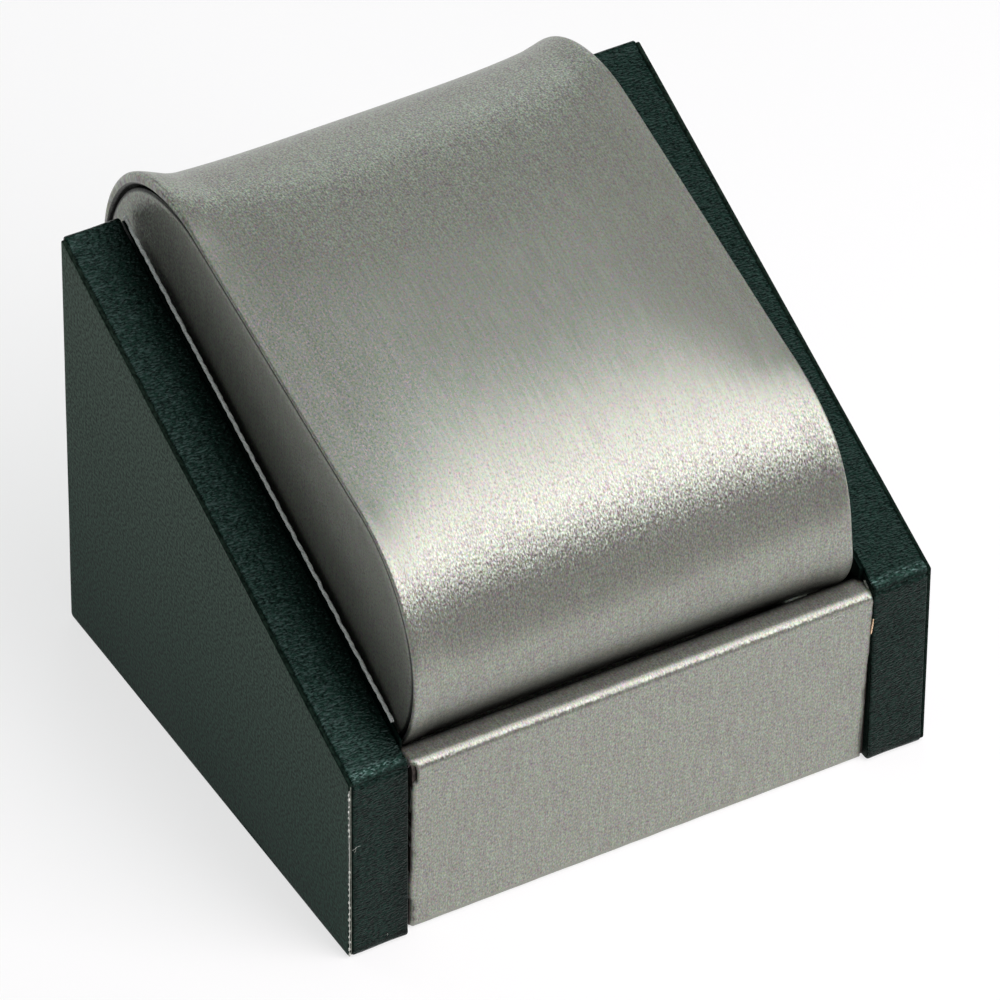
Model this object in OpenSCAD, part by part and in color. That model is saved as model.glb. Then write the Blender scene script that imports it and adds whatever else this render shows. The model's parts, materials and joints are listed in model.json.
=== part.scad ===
// Watch stand: two covered wedge panels, a front board, a sloping seat and a padded cushion.
// Outlines are drawn in the plane of depth and height, with depth 0 at the panels' front.

/* [Side panels] */
// Width of the stand over both side panels
stand_w = 80; // [60:0.5:120]
// Depth of a side panel from front to back
panel_d = 71.3; // [66:0.1:80]
// Height of a side panel at its back
panel_back_h = 59.7; // [50:0.1:70]
// Height of a side panel at its front
panel_front_h = 27.8; // [22:0.1:36]
// Thickness of the board inside a side panel
side_board_t = 7.5; // [4:0.5:9]
// Thickness of the leatherette
leather_t = 0.5; // [0.3:0.1:0.8]
// Radius of the leatherette outside a panel's corner
panel_corner_r = 0.9; // [0.8:0.1:2]
// How far the face sheets stop short of a panel's edges
sheet_margin = 0.3; // [0:0.1:1]
// Thickness of the lining sheet on a panel's inner face
liner_t = 0.6; // [0.3:0.1:1]
// How far the lining stands above the panel's slope
liner_proud = 0.2; // [0:0.1:0.5]

/* [Front board] */
// Height of the covered front board
front_h = 27; // [24:0.1:30]
// Thickness of the bare front board
front_board_t = 3.6; // [2.5:0.1:5]
// Thickness of the satin cloth
satin_t = 0.3; // [0.2:0.1:0.5]
// How far the front board's foot lies behind the panels' front
front_foot_recess = 1; // [0:0.1:2]
// How far the front board's top lies behind the panels' front
front_top_recess = 0.1; // [0:0.1:2]
// Radius of the front board's top edges
front_top_r = 1.4; // [0.8:0.1:2]
// Gap between the left panel and the front board's end
front_left_gap = 0.75; // [0.1:0.05:1]
// Gap between the right panel and the front board's end
front_right_gap = 0.15; // [0.1:0.05:1]
// Height of the boards' feet above the surface
foot_gap = 0.2; // [0.1:0.1:1]

/* [Seat, back and base] */
// Height of the seat's top where it meets the front board
seat_front_h = 13.2; // [9:0.1:15]
// Slope of the seat in degrees
seat_slope = 18.95; // [14:0.05:22]
// Thickness of the bare seat board
seat_board_t = 2.5; // [2:0.1:4]
// Thickness of the bare back board
back_board_t = 3; // [2:0.1:5]
// How far the back board lies in front of the panels' back
back_recess = 1; // [0.4:0.1:3]
// Thickness of the base board
base_board_t = 2; // [1.5:0.1:3]
// Thickness of the felt under the base board
felt_t = 0.5; // [0.3:0.1:1]

/* [Cushion] */
// Radius of the cushion's front round at its lips
cushion_front_r = 18.9; // [17:0.1:21]
// Radius of the cushion's back round at its lips
cushion_back_r = 18.2; // [16:0.1:21]
// Distance between the centres of the two rounds
cushion_span = 42.2; // [36:0.1:48]
// Thickness of the padded sleeve at its lips
sleeve_t = 1.3; // [1:0.1:2]
// How far the sleeve sinks between its two ends
waist_depth = 1; // [0:0.1:1]
// How far the foam swells the sleeve's top flank between its two ends
crown_h = 3.6; // [0:0.1:5]
// Radius of the sleeve's end lips
lip_r = 0.6; // [0.3:0.1:0.9]
// Depth of the end caps behind the lips
cap_recess = 1.2; // [0.4:0.1:3]
// Thickness of the card in an end cap
cap_card_t = 1.2; // [0.8:0.1:2]
// Gap between the cushion and the lining of the left panel
cushion_left_gap = 0.3; // [0.2:0.1:1]
// Gap between the cushion and the lining of the right panel
cushion_right_gap = 3.2; // [0.2:0.1:6]
// Gap where the cushion rests on the seat and on the front board
rest_gap = 0.25; // [0.2:0.05:0.4]

/* [Hidden] */

leatherette = [0.12, 0.18, 0.16];
satin = [0.60, 0.61, 0.57];
bare_board = [0.45, 0.30, 0.20];
card = [0.80, 0.77, 0.70];
foam = [0.90, 0.88, 0.80];
felt = [0.10, 0.13, 0.12];

corner_steps = 6;
round_steps = 22;
lip_steps = 4;
waist_steps = 14;
waist_power = 4;
flank_steps = 10;
crown_reach = 0.75;
foot_r = 0.4;

panel_t = leather_t + side_board_t;
inner_x = stand_w / 2 - panel_t;
lining_x = inner_x - liner_t;
front_t = front_board_t + 2 * satin_t;
seat_t = seat_board_t + satin_t;
back_t = back_board_t + 2 * satin_t;
back_y = panel_d - back_recess;
seat_board_end = back_y - satin_t;
front_lean = (front_foot_recess - front_top_recess) / (front_h - foot_gap);
liner_front_y = max(front_foot_recess, front_top_recess) + front_t + satin_t;
base_z = foot_gap + felt_t;

// Unit vector, left-hand normal and meeting point of two lines
function unit(v) = v / norm(v);
function left_of(v) = [-v[1], v[0]];
function cross2(a, b) = a[0] * b[1] - a[1] * b[0];
function meet(p, u, q, v) = p + u * cross2(q - p, v) / cross2(u, v);

// Outline moved inwards by t on every side, for corners given anticlockwise
function inset(pts, t) = [
    for (i = [0:len(pts) - 1])
        let (before = unit(pts[i] - pts[(i + len(pts) - 1) % len(pts)]),
             after = unit(pts[(i + 1) % len(pts)] - pts[i]),
             n1 = left_of(before), n2 = left_of(after))
        pts[i] + t * (n1 + n2) / (1 + n1 * n2)
];

// Arc of radius r that rounds the corner b between a and c
function corner_arc(a, b, c, r) =
    let (va = unit(a - b), vc = unit(c - b),
         half = acos(va * vc) / 2,
         middle = b + unit(va + vc) * r / sin(half),
         start = b + va * r / tan(half) - middle,
         turn = cross2(b - a, c - b) > 0 ? 180 - 2 * half : 2 * half - 180)
    [for (i = [0:corner_steps])
        let (t = turn * i / corner_steps)
        middle + [start[0] * cos(t) - start[1] * sin(t), start[0] * sin(t) + start[1] * cos(t)]];

function rounded(pts, radii) = [
    for (i = [0:len(pts) - 1])
        each corner_arc(pts[(i + len(pts) - 1) % len(pts)], pts[i], pts[(i + 1) % len(pts)], radii[i])
];

// Wedge of a side panel
wedge = [[0, 0], [panel_d, 0], [panel_d, panel_back_h], [0, panel_front_h]];
panel_slope = unit(wedge[2] - wedge[3]);
panel_up = left_of(panel_slope);

// Front board, leaning a little forwards at its top
function front_face_y(z) = front_top_recess + (front_h - z) * front_lean;
function front_back_y(z) = front_face_y(z) + front_t;
front_outline = [
    [front_face_y(foot_gap), foot_gap], [front_back_y(foot_gap), foot_gap],
    [front_back_y(front_h), front_h], [front_face_y(front_h), front_h]
];
front_back_line = front_outline[2] - front_outline[1];

// Seat lines, from the front board's back to the panels' back
seat_dir = [cos(seat_slope), sin(seat_slope)];
seat_up = left_of(seat_dir);
seat_start = [front_back_y(seat_front_h), seat_front_h];
function seat_point(y, depth) = meet(seat_start - depth * seat_up, seat_dir, [y, 0], [0, 1]);
function seat_front(depth) = meet(seat_start - depth * seat_up, seat_dir, front_outline[1], front_back_line);

// Cushion centres: it lies on the seat and leans on the front board's top edge
lip_track = seat_start + (cushion_front_r + rest_gap) * seat_up;
edge_centre = [front_back_y(front_h) - front_top_r, front_h - front_top_r];
edge_reach = cushion_front_r + front_top_r + rest_gap;
edge_along = (edge_centre - lip_track) * seat_dir;
edge_above = (edge_centre - lip_track) * seat_up;
front_centre = lip_track + (edge_along + sqrt(pow(edge_reach, 2) - pow(edge_above, 2))) * seat_dir;
round_taper = asin((cushion_front_r - cushion_back_r) / cushion_span);
cushion_slope = seat_slope - round_taper;
cushion_dir = [cos(cushion_slope), sin(cushion_slope)];
back_centre = front_centre + cushion_span * cushion_dir;
cushion_x = -lining_x + cushion_left_gap;
cushion_l = 2 * lining_x - cushion_left_gap - cushion_right_gap;

// The whole stand is centred on its own box
overall_d = max(panel_d, back_centre[0] + cushion_back_r);
front_y = -overall_d / 2;

// Swell at distance u along the top flank from the front round, fading out on both rounds
function crown_rise(u, swell) =
    swell * pow(cos(90 * min(1, abs(u / cushion_span - 0.5) / crown_reach)), 2);

function round_point(centre, r, angle) =
    centre + r * [cos(cushion_slope + angle), sin(cushion_slope + angle)];

// Cushion section: two rounds joined by flanks, grown outwards by grow from the core.
// The top flank is swollen by swell and drawn in flanks parts.
function cushion_section(grow, swell = 0, flanks = 1) =
    let (touch = 90 - round_taper,
         r1 = cushion_front_r - sleeve_t + grow,
         r2 = cushion_back_r - sleeve_t + grow)
    concat(
        [for (i = [0:round_steps])
            let (angle = touch * (2 * i / round_steps - 1),
                 u = cushion_span + r2 * (touch - angle) * PI / 180)
            round_point(back_centre, r2 + crown_rise(u, swell), angle)],
        [for (i = [1:1:flanks - 1])
            let (t = i / flanks,
                 rise = crown_rise(cushion_span * (1 - t), swell))
            round_point(back_centre + t * (front_centre - back_centre), r2 + t * (r1 - r2) + rise, touch)],
        [for (i = [0:round_steps])
            let (angle = touch + (360 - 2 * touch) * i / round_steps,
                 u = -r1 * (angle - touch) * PI / 180)
            round_point(front_centre, r1 + crown_rise(u, swell), angle)]
    );

// Draws an outline as a piece that runs from x0 to x1
module along_x(x0, x1) {
    translate([x0, front_y, 0])
        rotate([90, 0, 90])
            linear_extrude(x1 - x0)
                children();
}

// side is -1 for the left panel and 1 for the right one
module side_layer(side, from_outside, t) {
    outer = stand_w / 2 - from_outside;
    x0 = side > 0 ? outer - t : -outer;
    along_x(x0, x0 + t) children();
}

module wedge_shape(depth) {
    polygon(rounded(inset(wedge, depth), [for (i = [0:3]) panel_corner_r - depth]));
}

module side_board(side) {
    color(bare_board)
        side_layer(side, leather_t, side_board_t)
            wedge_shape(leather_t);
}

module side_edge_strip(side) {
    color(leatherette)
        side_layer(side, leather_t, side_board_t)
            difference() {
                wedge_shape(0);
                wedge_shape(leather_t);
            }
}

module side_outer_sheet(side) {
    color(leatherette)
        side_layer(side, 0, leather_t)
            wedge_shape(sheet_margin);
}

// The lining starts behind the front board and follows the slope to the back
module side_liner(side) {
    slope_start = wedge[3] + liner_proud * panel_up;
    back_edge = panel_d - sheet_margin;
    outline = [
        [liner_front_y, sheet_margin],
        [back_edge, sheet_margin],
        meet(slope_start, panel_slope, [back_edge, 0], [0, 1]),
        meet(slope_start, panel_slope, [liner_front_y, 0], [0, 1])
    ];
    color(leatherette)
        side_layer(side, panel_t, liner_t)
            polygon(rounded(outline, [for (i = [0:3]) panel_corner_r]));
}

module left_side_board() {
    side_board(-1);
}

module left_side_edge_strip() {
    side_edge_strip(-1);
}

module left_side_outer_sheet() {
    side_outer_sheet(-1);
}

module left_side_liner() {
    side_liner(-1);
}

module right_side_board() {
    side_board(1);
}

module right_side_edge_strip() {
    side_edge_strip(1);
}

module right_side_outer_sheet() {
    side_outer_sheet(1);
}

module right_side_liner() {
    side_liner(1);
}

// Outline of the front board, depth inside the cloth
module front_shape(depth) {
    radii = [foot_r, foot_r, front_top_r, front_top_r];
    polygon(rounded(inset(front_outline, depth), [for (r = radii) r - depth]));
}

module front_span() {
    along_x(-inner_x + front_left_gap, inner_x - front_right_gap) children();
}

module front_board() {
    color(bare_board)
        front_span()
            front_shape(satin_t);
}

module front_board_cover() {
    color(satin)
        front_span()
            difference() {
                front_shape(0);
                front_shape(satin_t);
            }
}

module seat_board() {
    color(bare_board)
        along_x(-lining_x, lining_x)
            polygon([
                seat_front(seat_t), seat_point(seat_board_end, seat_t),
                seat_point(seat_board_end, satin_t), seat_front(satin_t)
            ]);
}

// The satin lies on the seat board and turns down over its back edge
module seat_cover() {
    color(satin)
        along_x(-lining_x, lining_x)
            polygon([
                seat_front(0), seat_front(satin_t),
                seat_point(seat_board_end, satin_t), seat_point(seat_board_end, seat_t),
                seat_point(back_y, seat_t), seat_point(back_y, 0)
            ]);
}

back_outline = [
    [back_y - back_t, foot_gap], [back_y, foot_gap],
    seat_point(back_y, seat_t), seat_point(back_y - back_t, seat_t)
];

module back_board() {
    color(bare_board)
        along_x(-lining_x, lining_x)
            polygon(inset(back_outline, satin_t));
}

module back_board_cover() {
    color(satin)
        along_x(-lining_x, lining_x)
            difference() {
                polygon(back_outline);
                polygon(inset(back_outline, satin_t));
            }
}

// A layer of the base from height z0 to z1
module base_layer(z0, z1) {
    along_x(-lining_x, lining_x)
        polygon([
            [front_back_y(z0), z0], [back_y - back_t, z0],
            [back_y - back_t, z1], [front_back_y(z1), z1]
        ]);
}

module base_board() {
    color(bare_board) base_layer(base_z, base_z + base_board_t);
}

module base_felt() {
    color(felt) base_layer(foot_gap, base_z);
}

module cushion_slice(from, to, grow) {
    along_x(cushion_x + from, cushion_x + to)
        polygon(cushion_section(grow));
}

cap_inside = cap_recess + satin_t + cap_card_t;

module cushion_foam() {
    color(foam) cushion_slice(cap_inside, cushion_l - cap_inside, 0);
}

// Stations along the sleeve: distance from its left end, growth over the core, and share of the waist
lip_stations = [
    for (i = [0:lip_steps])
        let (a = 90 * i / lip_steps)
        [lip_r * (1 - cos(a)), sleeve_t - lip_r * (1 - sin(a)), 0]
];
waist_stations = [
    for (i = [1:waist_steps - 1])
        let (s = i / waist_steps,
             share = 1 - pow(abs(2 * s - 1), waist_power))
        [lip_r + s * (cushion_l - 2 * lip_r), sleeve_t - waist_depth * share, share]
];
sleeve_stations = concat(
    lip_stations,
    waist_stations,
    [for (i = [lip_steps:-1:0]) [cushion_l - lip_stations[i][0], lip_stations[i][1], 0]],
    [[cushion_l, 0, 0], [0, 0, 0]]
);

module cushion_sleeve() {
    rings = len(sleeve_stations);
    count = 2 * (round_steps + 1) + flank_steps - 1;
    points = [
        for (s = sleeve_stations)
            for (p = cushion_section(s[1], crown_h * s[2], flank_steps))
                [cushion_x + s[0], front_y + p[0], p[1]]
    ];
    faces = [
        for (k = [0:rings - 1])
            for (j = [0:count - 1])
                let (a = k * count + j, b = k * count + (j + 1) % count,
                     next = ((k + 1) % rings) * count,
                     c = next + (j + 1) % count, d = next + j)
                each [[a, d, c], [a, c, b]]
    ];
    color(satin) polyhedron(points, faces);
}

// An end cap is a card in a tray of cloth; end is 0 at the left and 1 at the right
module cap_card(end) {
    from = end == 0 ? cap_recess + satin_t : cushion_l - cap_inside;
    color(card) cushion_slice(from, from + cap_card_t, -satin_t);
}

module cap_cover(end) {
    from = end == 0 ? cap_recess : cushion_l - cap_inside;
    card_from = end == 0 ? cap_recess + satin_t : cushion_l - cap_inside;
    color(satin)
        difference() {
            cushion_slice(from, from + cap_card_t + satin_t, 0);
            cushion_slice(card_from, card_from + cap_card_t, -satin_t);
        }
}

module cushion_left_cap_card() {
    cap_card(0);
}

module cushion_left_cap_cover() {
    cap_cover(0);
}

module cushion_right_cap_card() {
    cap_card(1);
}

module cushion_right_cap_cover() {
    cap_cover(1);
}

left_side_board();
left_side_edge_strip();
left_side_outer_sheet();
left_side_liner();
right_side_board();
right_side_edge_strip();
right_side_outer_sheet();
right_side_liner();
front_board();
front_board_cover();
seat_board();
seat_cover();
back_board();
back_board_cover();
base_board();
base_felt();
cushion_foam();
cushion_sleeve();
cushion_left_cap_card();
cushion_left_cap_cover();
cushion_right_cap_card();
cushion_right_cap_cover();
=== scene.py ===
"""Looks of the watch stand: a grey satin cushion between two dark leatherette wedge panels.

Sizes are in millimetres and turn into metres when a mesh is made. X runs to the viewer's
right, Y from the low front to the high back, and Z up.
"""

import json
import math

import bpy
import numpy as np
from mathutils import Matrix, Vector


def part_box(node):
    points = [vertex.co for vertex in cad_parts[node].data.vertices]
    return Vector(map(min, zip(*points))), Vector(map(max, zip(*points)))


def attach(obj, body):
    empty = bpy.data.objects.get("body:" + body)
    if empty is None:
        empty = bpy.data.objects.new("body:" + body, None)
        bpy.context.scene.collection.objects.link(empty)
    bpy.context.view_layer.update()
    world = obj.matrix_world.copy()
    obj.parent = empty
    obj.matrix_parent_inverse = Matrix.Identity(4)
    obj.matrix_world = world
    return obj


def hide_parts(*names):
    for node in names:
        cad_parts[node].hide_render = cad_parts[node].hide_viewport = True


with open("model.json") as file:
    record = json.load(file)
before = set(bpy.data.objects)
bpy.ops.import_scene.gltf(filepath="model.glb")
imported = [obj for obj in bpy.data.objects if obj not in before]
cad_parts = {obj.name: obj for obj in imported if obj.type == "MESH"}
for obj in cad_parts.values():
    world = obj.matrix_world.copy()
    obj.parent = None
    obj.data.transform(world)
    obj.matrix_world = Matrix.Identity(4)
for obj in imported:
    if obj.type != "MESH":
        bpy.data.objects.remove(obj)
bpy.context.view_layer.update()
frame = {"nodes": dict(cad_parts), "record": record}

METRE = 0.001

# Panels: boards with a leatherette strip round their edges and a sheet on each face
STAND_W = 80.0
PANEL_BACK_H = 59.7
PANEL_FRONT_H = 27.8
PANEL_T = 8.0
LEATHER_T = 0.5
PANEL_CORNER_R = 0.9
SHEET_MARGIN = 0.3
LINER_T = 0.6
LINER_PROUD = 0.2

# Front board and the boards behind it
FRONT_H = 27.0
FRONT_T = 4.2
SATIN_T = 0.3
FRONT_FOOT_RECESS = 1.0
FRONT_TOP_RECESS = 0.1
FRONT_TOP_R = 1.4
FRONT_FOOT_R = 0.4
FRONT_LEFT_GAP = 0.75
FRONT_RIGHT_GAP = 0.15
FOOT_GAP = 0.2
BACK_RECESS = 1.0
BACK_T = 3.6
SEAT_FRONT_H = 13.2
SEAT_SLOPE = 18.95

# Cushion: a sleeve of two rounds joined by flanks, waisted between its end lips
CUSHION_L = 59.3
FRONT_R = 18.9
BACK_R = 18.2
SPAN = 42.2
SLEEVE_T = 1.3
WAIST_DEPTH = 1.0
CUSHION_LEFT_GAP = 0.3
REST_GAP = 0.25

INNER_X = STAND_W / 2 - PANEL_T
LINING_X = INNER_X - LINER_T
PANEL_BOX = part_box("left_side_edge_strip")
FRONT_Y = PANEL_BOX[0][1] / METRE
BACK_Y = PANEL_BOX[1][1] / METRE
FOOT_MID_Y = (FRONT_Y + BACK_Y) / 2
CUSHION_LEFT_X = -LINING_X + CUSHION_LEFT_GAP


def unit(v):
    """A vector, or each row of a table of them, at length 1."""
    v = np.asarray(v, float)
    return v / np.linalg.norm(v, axis=-1, keepdims=True)


def cross2(a, b):
    return a[0] * b[1] - a[1] * b[0]


def meet(p, u, q, v):
    """Where the line through p along u meets the line through q along v."""
    p, u, q, v = (np.asarray(a, float) for a in (p, u, q, v))
    return p + u * cross2(q - p, v) / cross2(u, v)


def inset_corners(corners, depth):
    """Corners, given anticlockwise, moved inwards by depth on every side."""
    moved = []
    for i, corner in enumerate(corners):
        before = unit(np.subtract(corner, corners[i - 1]))
        after = unit(np.subtract(corners[(i + 1) % len(corners)], corner))
        n1 = np.array([-before[1], before[0]])
        n2 = np.array([-after[1], after[0]])
        moved.append(np.asarray(corner) + depth * (n1 + n2) / (1 + n1 @ n2))
    return moved


def corner_arc(a, b, c, radius, step):
    """Points of the arc that rounds the corner b, about step apart."""
    a, b, c = (np.asarray(p, float) for p in (a, b, c))
    va, vc = unit(a - b), unit(c - b)
    half = math.acos(np.clip(va @ vc, -1, 1)) / 2
    middle = b + unit(va + vc) * radius / math.sin(half)
    start = b + va * radius / math.tan(half) - middle
    turn = math.copysign(math.pi - 2 * half, cross2(b - a, c - b))
    count = max(5, int(abs(turn) * radius / step))
    points = []
    for t in np.linspace(0, turn, count + 1):
        cos, sin = math.cos(t), math.sin(t)
        points.append(middle + [start[0] * cos - start[1] * sin, start[0] * sin + start[1] * cos])
    return points


def quarter(radius, count):
    """How far the points of a rounded edge lie in from its two sides, from one to the other."""
    angles = np.radians(np.linspace(0, 90, count))
    return [(radius * (1 - math.cos(a)), radius * (1 - math.sin(a))) for a in angles]


def outline(corners, radii, step):
    """A closed outline with rounded corners, its points about step apart along the straights."""
    arcs = [
        corner_arc(corners[i - 1], corners[i], corners[(i + 1) % len(corners)], radii[i], step)
        for i in range(len(corners))
    ]
    points = []
    for i, arc in enumerate(arcs):
        points += arc
        gap = arcs[(i + 1) % len(arcs)][0] - arc[-1]
        count = max(1, int(np.linalg.norm(gap) / step))
        points += [arc[-1] + gap * k / count for k in range(1, count)]
    return np.array(points)


def outward(points):
    """Outward normals of a closed anticlockwise outline."""
    along = unit(np.roll(points, -1, 0) - np.roll(points, 1, 0))
    return np.stack([along[:, 1], -along[:, 0]], 1)


def arc_lengths(points):
    """How far each point lies along a closed outline from its first point."""
    steps = np.linalg.norm(np.roll(points, -1, 0) - points, axis=1)
    return np.concatenate([[0], np.cumsum(steps)[:-1]])


def ripple(points, wavelength, seed, waves=9):
    """Smooth noise between about -1 and 1 over points of any dimension, the same on each run."""
    rng = np.random.default_rng(seed)
    points = np.asarray(points, float)
    total = np.zeros(points.shape[:-1])
    for _ in range(waves):
        way = rng.normal(size=points.shape[-1])
        way *= rng.uniform(0.6, 1.5) / np.linalg.norm(way)
        total += np.sin(2 * math.pi * (points @ way) / wavelength + rng.uniform(0, 2 * math.pi))
    return total / math.sqrt(waves)


def bell(distance, width):
    """1 where distance is 0, and falling off on both sides over about width."""
    return np.exp(-(distance / width) ** 2)


def smooth_step(share):
    """A share from 0 to 1 that starts and ends gently."""
    return share * share * (3 - 2 * share)


def blurred(values, span):
    """Values round a closed line, each averaged with its neighbours over an odd number of them."""
    window = np.hanning(span) / np.hanning(span).sum()
    half = span // 2
    return np.convolve(np.concatenate([values[-half:], values, values[:half]]), window, "valid")


def make_piece(name, verts, faces, material, replaces=(), place=None, crease=None):
    """A mesh piece from corners in millimetres.

    place is each corner's position on the flat cloth and, as its third number, how much painted
    shade darkens it there, or below 0 how much painted glints and wear lighten it. crease is the
    angle from which edges stay sharp.
    """
    mesh = bpy.data.meshes.new(name)
    mesh.from_pydata((np.vstack(verts) * METRE).tolist(), [], faces)
    if place is not None:
        on_cloth = mesh.attributes.new("cloth_place", "FLOAT_VECTOR", "POINT")
        on_cloth.data.foreach_set("vector", np.vstack(place).astype(np.float32).ravel())
    mesh.validate()
    mesh.update()
    mesh.shade_smooth()
    if crease is not None:
        mesh.set_sharp_from_angle(angle=math.radians(crease))
    piece = bpy.data.objects.new(name, mesh)
    bpy.context.scene.collection.objects.link(piece)
    piece.data.materials.append(material)
    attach(piece, "root")
    if replaces:
        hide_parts(*replaces)
    return piece


def grid_faces(rows, cols, close_rows=False, close_cols=False):
    """Quads of a grid of rows by cols corners, wrapped round where it is closed."""
    faces = []
    for r in range(rows if close_rows else rows - 1):
        for c in range(cols if close_cols else cols - 1):
            r2, c2 = (r + 1) % rows, (c + 1) % cols
            faces.append((r * cols + c, r * cols + c2, r2 * cols + c2, r2 * cols + c))
    return faces


def tube_faces(rows, count, first=0):
    """Faces of a tube of rows rings of count corners, closed at its ends, from corner first on."""
    faces = [tuple(reversed(range(count)))]
    faces += grid_faces(rows, count, close_cols=True)
    faces.append(tuple(range((rows - 1) * count, rows * count)))
    return [tuple(first + i for i in face) for face in faces]


def nodes_of(material):
    material.use_nodes = True
    tree = material.node_tree
    return tree, tree.nodes["Principled BSDF"]


def feed(tree, node, inputs):
    """Gives a node its inputs, by name or number, as values or other nodes' sockets."""
    for key, value in dict(inputs).items():
        if isinstance(value, bpy.types.NodeSocket):
            tree.links.new(value, node.inputs[key])
        else:
            node.inputs[key].default_value = value


def add(tree, kind, inputs=(), **settings):
    """A new node with its settings and inputs."""
    node = tree.nodes.new(kind)
    for key, value in settings.items():
        setattr(node, key, value)
    feed(tree, node, inputs)
    return node


def ramp(tree, fac, stops):
    """A colour ramp through (position, colour) stops."""
    node = add(tree, "ShaderNodeValToRGB", {"Fac": fac})
    elements = node.color_ramp.elements
    while len(elements) < len(stops):
        elements.new(0.5)
    for element, (position, colour) in zip(elements, stops):
        element.position = position
        element.color = (*colour, 1)
    return node.outputs["Color"]


def math_node(tree, operation, a, b):
    return add(tree, "ShaderNodeMath", {0: a, 1: b}, operation=operation).outputs[0]


def vector_math(tree, operation, a, b):
    """b may be a float, which then stands for the same value in all three channels."""
    b = (b, b, b) if isinstance(b, float) else b
    return add(tree, "ShaderNodeVectorMath", {0: a, 1: b}, operation=operation).outputs[0]


def scaled(tree, vector, by):
    return add(tree, "ShaderNodeVectorMath", {0: vector, "Scale": by}, operation="SCALE").outputs[0]


def cloth_place(tree):
    node = add(tree, "ShaderNodeAttribute", attribute_name="cloth_place", attribute_type="GEOMETRY")
    return node.outputs["Vector"]


def object_place(tree):
    return add(tree, "ShaderNodeTexCoord").outputs["Object"]


def third(tree, vector):
    return add(tree, "ShaderNodeSeparateXYZ", {0: vector}).outputs["Z"]


def cloth_coords(tree, per_mm):
    """Position on the flat cloth; per_mm is how many features lie in a millimetre each way."""
    inputs = {"Vector": cloth_place(tree), "Scale": (*per_mm, 1.0)}
    return add(tree, "ShaderNodeMapping", inputs).outputs[0]


def object_coords(tree, per_mm):
    """Position in space, with features by the millimetre as in cloth_coords."""
    inputs = {"Vector": object_place(tree), "Scale": [s / METRE for s in per_mm]}
    return add(tree, "ShaderNodeMapping", inputs).outputs[0]


def noise(tree, coords, detail=2.0, roughness=0.5, distortion=0.0, output="Fac"):
    """Smooth noise. Its output Color has a value of its own in each channel, 0.5 on average."""
    node = add(tree, "ShaderNodeTexNoise", {
        "Vector": coords, "Scale": 1.0, "Detail": detail, "Roughness": roughness, "Distortion": distortion,
    })
    return node.outputs[output]


def tilted(tree, grain, amount):
    """The surface normal turned a little each way by a colour noise, thread by thread."""
    normal = add(tree, "ShaderNodeNewGeometry").outputs["Normal"]
    offset = vector_math(tree, "SUBTRACT", grain, 0.5)
    leaning = vector_math(tree, "ADD", normal, vector_math(tree, "MULTIPLY", offset, amount))
    return add(tree, "ShaderNodeVectorMath", {0: leaning}, operation="NORMALIZE").outputs[0]


def bumped(tree, relief, depth, strength=1.0):
    """The surface normal over a relief, where 1 is depth millimetres high."""
    inputs = {"Strength": strength, "Distance": depth * METRE, "Height": relief}
    return add(tree, "ShaderNodeBump", inputs).outputs["Normal"]


def shaded(tree, colour):
    """Painted shade and light: the colour darkened by the third number of cloth_place in creases, seams
    and at cut rims, and lightened where that number is below 0, for painted glints and worn grains.
    """
    return scaled(tree, colour, math_node(tree, "SUBTRACT", 1.0, third(tree, cloth_place(tree))))


# Painted glints and worn grains on the wrinkles' tops: their colour, and where on the wrinkle noise they
# begin and are full
GLINT_AND_WEAR_GREY = (0.085, 0.125, 0.12)
GLINT_AND_WEAR_FROM, GLINT_AND_WEAR_FULL = 0.5, 0.7


def glints_and_wear(tree, colour, crease):
    """Light grains added on the wrinkles' tops where cloth_place's third number is below 0: painted
    glints on the strips' slopes, and on the front folds worn grains that also paint a highlight.
    """
    wear_and_highlight = math_node(tree, "MULTIPLY", third(tree, cloth_place(tree)), -1.0)
    wear_and_highlight = math_node(tree, "MAXIMUM", wear_and_highlight, 0.0)
    tops = ramp(tree, crease, [(GLINT_AND_WEAR_FROM, (0, 0, 0)), (GLINT_AND_WEAR_FULL, GLINT_AND_WEAR_GREY)])
    return vector_math(tree, "ADD", colour, scaled(tree, tops, wear_and_highlight))


# Satin: grains and streaks in a millimetre across and along the threads, its colour, how strong
# the streaks are, how grey and how strong the sparkles are, and how far the threads tilt
SATIN_GRAIN = (5.4, 2.9)
SATIN_STREAKS = (3.4, 0.16)
SATIN_COLOUR = (0.274, 0.287, 0.247)
STREAK_DEPTH = 0.09
GREY_WEIGHT = 0.6
SPECKLE = 0.9
SPECKLE_MEAN = 0.5 + 3 * 0.5 * GREY_WEIGHT
SATIN_TILT = 0.45


def satin_coords(tree, per_mm, on_cloth):
    if on_cloth:
        return cloth_coords(tree, per_mm)
    return object_coords(tree, (per_mm[0], *per_mm))


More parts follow.
